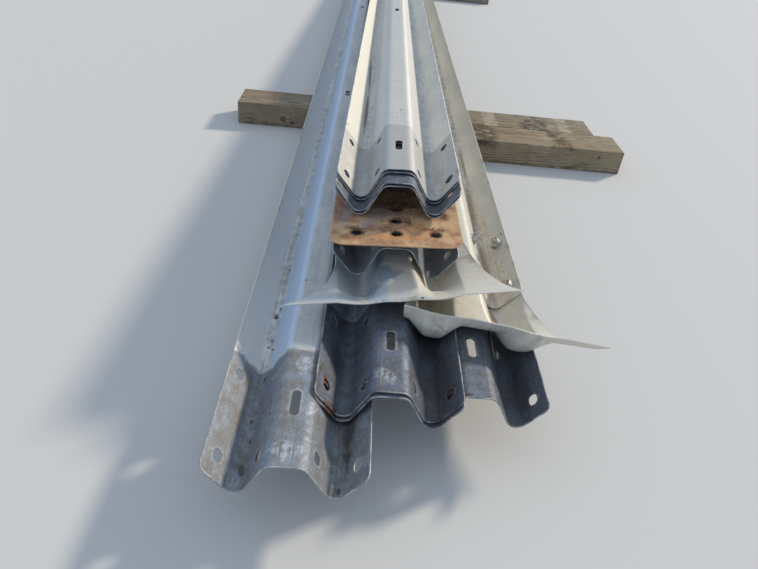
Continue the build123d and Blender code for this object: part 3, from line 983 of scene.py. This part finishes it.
def timberMesh(node, seed):
    f = timberForm
    low, high = (np.array(v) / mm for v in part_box(node))
    quarter = math.pi / 2
    turn = np.linspace(0, quarter, f["cornerSteps"])
    along = np.linspace(0, 1, f["flatSteps"] + 1)[1:-1]
    corners = np.array([1 + 1j, -1 + 1j, -1 - 1j, 1 - 1j])
    corner = np.concatenate([np.concatenate([np.full(len(turn), c), c + (d - c) * along])
                             for c, d in zip(corners, np.roll(corners, -1))])
    away = np.concatenate([np.exp(1j * (k * quarter + np.concatenate([turn, np.full(len(along), quarter)])))
                           for k in range(4)])
    length = high[0] - low[0]
    tip = f["endRound"] * np.array([0.0, 0.15, 0.45, 1.0])
    x = np.concatenate([tip, np.linspace(2 * f["endRound"], length - 2 * f["endRound"], int(length / f["pitch"])),
                        (length - tip)[::-1]])[:, None]
    fromTip = np.clip(np.minimum(x, length - x) / f["endRound"], 0, 1)
    inset = f["endRound"] * (1 - np.sqrt(1 - (1 - fromTip) ** 2))
    phase = np.angle(corner)[None, :] + seed
    worn = np.clip(np.sin(x * 0.011 + phase * 5) * np.sin(x * 0.0043 + phase * 3), 0, 1) ** 2
    r = f["arris"] + f["wear"] * worn
    half = (high - low)[1:] / 2
    y = corner.real * (half[0] - r) + away.real * r
    z = corner.imag * (half[1] - r) + away.imag * r
    dip = inset + f["wave"] * (1 + np.sin(x * 0.031 + phase * 7))
    y, z = y - away.real * dip, z - away.imag * dip
    points = np.stack([x + low[0] + 0 * y, y + (low[1] + high[1]) / 2, z + (low[2] + high[2]) / 2], axis=-1)
    m, n = points.shape[:2]
    faces, ends = tubeFaces(np.arange(m * n).reshape(m, n))
    obj = meshObject(node + "_sawn", points.reshape(-1, 3) * mm, faces, caps=ends)
    obj.data.set_sharp_from_angle(angle=math.radians(f["sharp"]))
    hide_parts(node)
    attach(obj, "root")
    return obj


# Weathered wood: growth rings round a pith that lies aslant, fibre, drying cracks, knots, grey bloom, dark stains and
# pale marks. In mm from the timber's low corner, knots are (x, y, z, radius), stains (x, half length, depth from the
# top) and pale marks, on the top face, (x, half length).
def weatheredWood(name, node, seed, grey, brown, dark, pith, knots=(), stains=(), pale=()):
    low, high = (np.array(v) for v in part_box(node))
    w = Wiring(name)
    x, y, z = w.split(w("ShaderNodeTexCoord", output=3))
    x, y, z = x - float(low[0]), y - float(low[1]), z - float(low[2])
    here = w.vector(x + seed, y, z)
    slow = w.noise(w.stretched(here, (0.4, 1, 1)), 7, 3)
    fibre = w.noise(w.stretched(here, (0.018, 1, 1)), 520, 4, 0.65)
    cloud = w.noise(here, 26, 4, 0.6)
    cracks = w.noise(w.stretched(here, (0.05, 1, 1)), 95, 3, 0.5)
    bend = (slow - 0.5) * 0.03
    spots = []
    for kx, ky, kz, radius in knots:
        far = ((x - kx * mm) ** 2 + (y - ky * mm) ** 2 + (z - kz * mm) ** 2).maths("SQRT") / (radius * mm)
        bend = bend + far.fade(0.6, 3.2) * radius * mm * 0.9
        spots.append((far + (fibre - 0.5) * 0.5).fade(0.75, 1.1))
    radius = w.length(y - pith[0] * mm, z - pith[1] * mm + x * 0.018) + bend
    ring = ((radius * 190 + (fibre - 0.5) * 0.7) * (2 * math.pi)).maths("SINE") * 0.5 + 0.5
    late = ring.ramp(0.45, 0.95)
    w.colour = w.mix((slow * 0.5 + cloud * 0.5).ramp(0.38, 0.6), grey, brown)
    w.lay(late * 0.55, dark)
    w.lay(fibre.ramp(0.5, 0.72) * 0.35, scaled(grey, 1.45))
    cracked = w.noise(w.stretched(here, (0.3, 1, 1)), 22, 2).ramp(0.5, 0.6)
    crack = abs(cracks - 0.5).fade(0.002, 0.012) * cracked
    w.lay(crack * 0.85, scaled(dark, 0.35))
    if spots:
        w.lay(reduce(Sock.most, spots) * 0.75, scaled(dark, 0.8))
    top = float(high[2] - low[2])
    for at, halfLength, depth in stains:
        wide, deep = halfLength * mm, depth * mm
        stain = abs(x - at * mm).fade(wide * 0.5, wide) * (top - z).fade(deep * 0.3, deep)
        w.lay(stain * cloud.ramp(0.36, 0.6) * 0.8, scaled(dark, 0.6))
    for at, halfLength in pale:
        wide = halfLength * mm
        mark = abs(x - at * mm).fade(wide * 0.85, wide) * z.ramp(top - 0.004, top - 0.001)
        w.lay(mark * cloud.ramp(0.3, 0.55) * 0.6, scaled(grey, 1.6))
    foot = z.fade(0.004, 0.03) * cloud.ramp(0.4, 0.62)
    w.lay(foot * 0.55, scaled(dark, 0.7))
    endGrain = x.fade(0.002, 0.006).most((float(high[0] - low[0]) - x).fade(0.002, 0.006))
    w.lay(endGrain * 0.35, dark)
    height = late * 0.6 + fibre * 0.8 - crack * 2.2
    return w.finish(0.82 + (fibre - 0.5) * 0.2, 0.0, height, 0.0008, 0.25)


print("timbers")
timberLooks = {
    "near_back_timber": dict(
        seed=0.0, grey=(0.33, 0.295, 0.22), brown=(0.29, 0.215, 0.135), dark=(0.10, 0.072, 0.05), pith=(60, -40),
        knots=((209, 0, 39, 15), (251, 0, 24, 10)), stains=((700, 260, 40), (1400, 90, 30)),
        pale=((1188, 34), (1547, 30))),
    "near_front_timber": dict(
        seed=3.1, grey=(0.37, 0.31, 0.215), brown=(0.33, 0.24, 0.145), dark=(0.12, 0.085, 0.055), pith=(120, -25),
        knots=((592, 0, 70, 9),), stains=((60, 90, 45), (420, 60, 20))),
    "far_timber": dict(
        seed=5.7, grey=(0.35, 0.32, 0.265), brown=(0.31, 0.25, 0.175), dark=(0.13, 0.105, 0.08), pith=(20, -60),
        knots=((400, 0, 60, 10), (1250, 190, 50, 8))),
}
for i, (node, look) in enumerate(timberLooks.items()):
    timberMesh(node, 1.7 * i).data.materials.append(weatheredWood(node + "_wood", node, **look))

print("floor, light and camera")
floorForm = dict(half=40.0, colour=(0.66, 0.65, 0.63), rough=0.9)


def plainFloor():
    h = floorForm["half"]
    corners = np.array([(-h, -h, 0), (h, -h, 0), (h, h, 0), (-h, h, 0)])
    obj = meshObject("floor", corners, np.array([[0, 1, 2, 3]]))
    w = Wiring("floor_pale")
    w.shader.inputs["Base Color"].default_value = (*floorForm["colour"], 1)
    w.shader.inputs["Roughness"].default_value = floorForm["rough"]
    obj.data.materials.append(w.material)


# A light or camera at a point, with its own axes
def placeObject(name, data, ex, ey, ez, at):
    obj = addObject(name, data)
    matrix = np.eye(4)
    matrix[:3] = np.stack([ex, ey, ez, at], axis=1)
    obj.matrix_world = Matrix(matrix)
    return obj


# Warm key from behind on the right, as low afternoon sun, kept soft; cool even sky for the shade
lightForm = dict(keyFrom=(0.66, 0.55, 0.50), keyFar=8.0, keyPower=2.55, keyColour=(1.0, 0.90, 0.74), keySoft=6.0,
                 skyColour=(0.70, 0.82, 1.0), skyStrength=0.66)


def setLight():
    f = lightForm
    data = bpy.data.lights.new("key", "SUN")
    data.energy = f["keyPower"]
    data.color = f["keyColour"]
    data.angle = math.radians(f["keySoft"])
    ez = np.array(f["keyFrom"]) / np.linalg.norm(f["keyFrom"])
    ex = np.cross((0, 0, 1), ez)
    ex /= np.linalg.norm(ex)
    placeObject("key", data, ex, np.cross(ez, ex), ez, ez * f["keyFar"])
    world = bpy.data.worlds.new("sky")
    world.use_nodes = True
    sky = world.node_tree.nodes["Background"].inputs
    sky["Color"].default_value = (*f["skyColour"], 1)
    sky["Strength"].default_value = f["skyStrength"]
    bpy.context.scene.world = world


# Camera of the photograph: eye in metres from the near end of bottom_left_rail, sensor width and lens in mm, turns in
# degrees. The lens is 600/758 of the sensor's width.
cameraForm = dict(back=0.678, left=-0.283, up=1.0894, sensor=36, lens=600 / 758 * 36, clip=200,
                  down=35.56, right=3.06, roll=6.52)


def aimCamera():
    c = cameraForm
    pitch, yaw, roll = (math.radians(c[k]) for k in ("down", "right", "roll"))
    forward = np.array([math.sin(yaw) * math.cos(pitch), math.cos(yaw) * math.cos(pitch), -math.sin(pitch)])
    side = np.array([math.cos(yaw), -math.sin(yaw), 0.0])
    under = np.cross(forward, side)
    data = bpy.data.cameras.new("camera")
    data.sensor_width = c["sensor"]
    data.lens = c["lens"]
    data.clip_end = c["clip"]
    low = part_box("bottom_left_rail")[0]
    ex = math.cos(roll) * side - math.sin(roll) * under
    ey = -(math.sin(roll) * side + math.cos(roll) * under)
    obj = placeObject("camera", data, ex, ey, -forward, (c["left"], low[1] - c["back"], c["up"]))
    bpy.context.scene.camera = obj


plainFloor()
setLight()
aimCamera()
bpy.context.scene.view_settings.view_transform = "Standard"
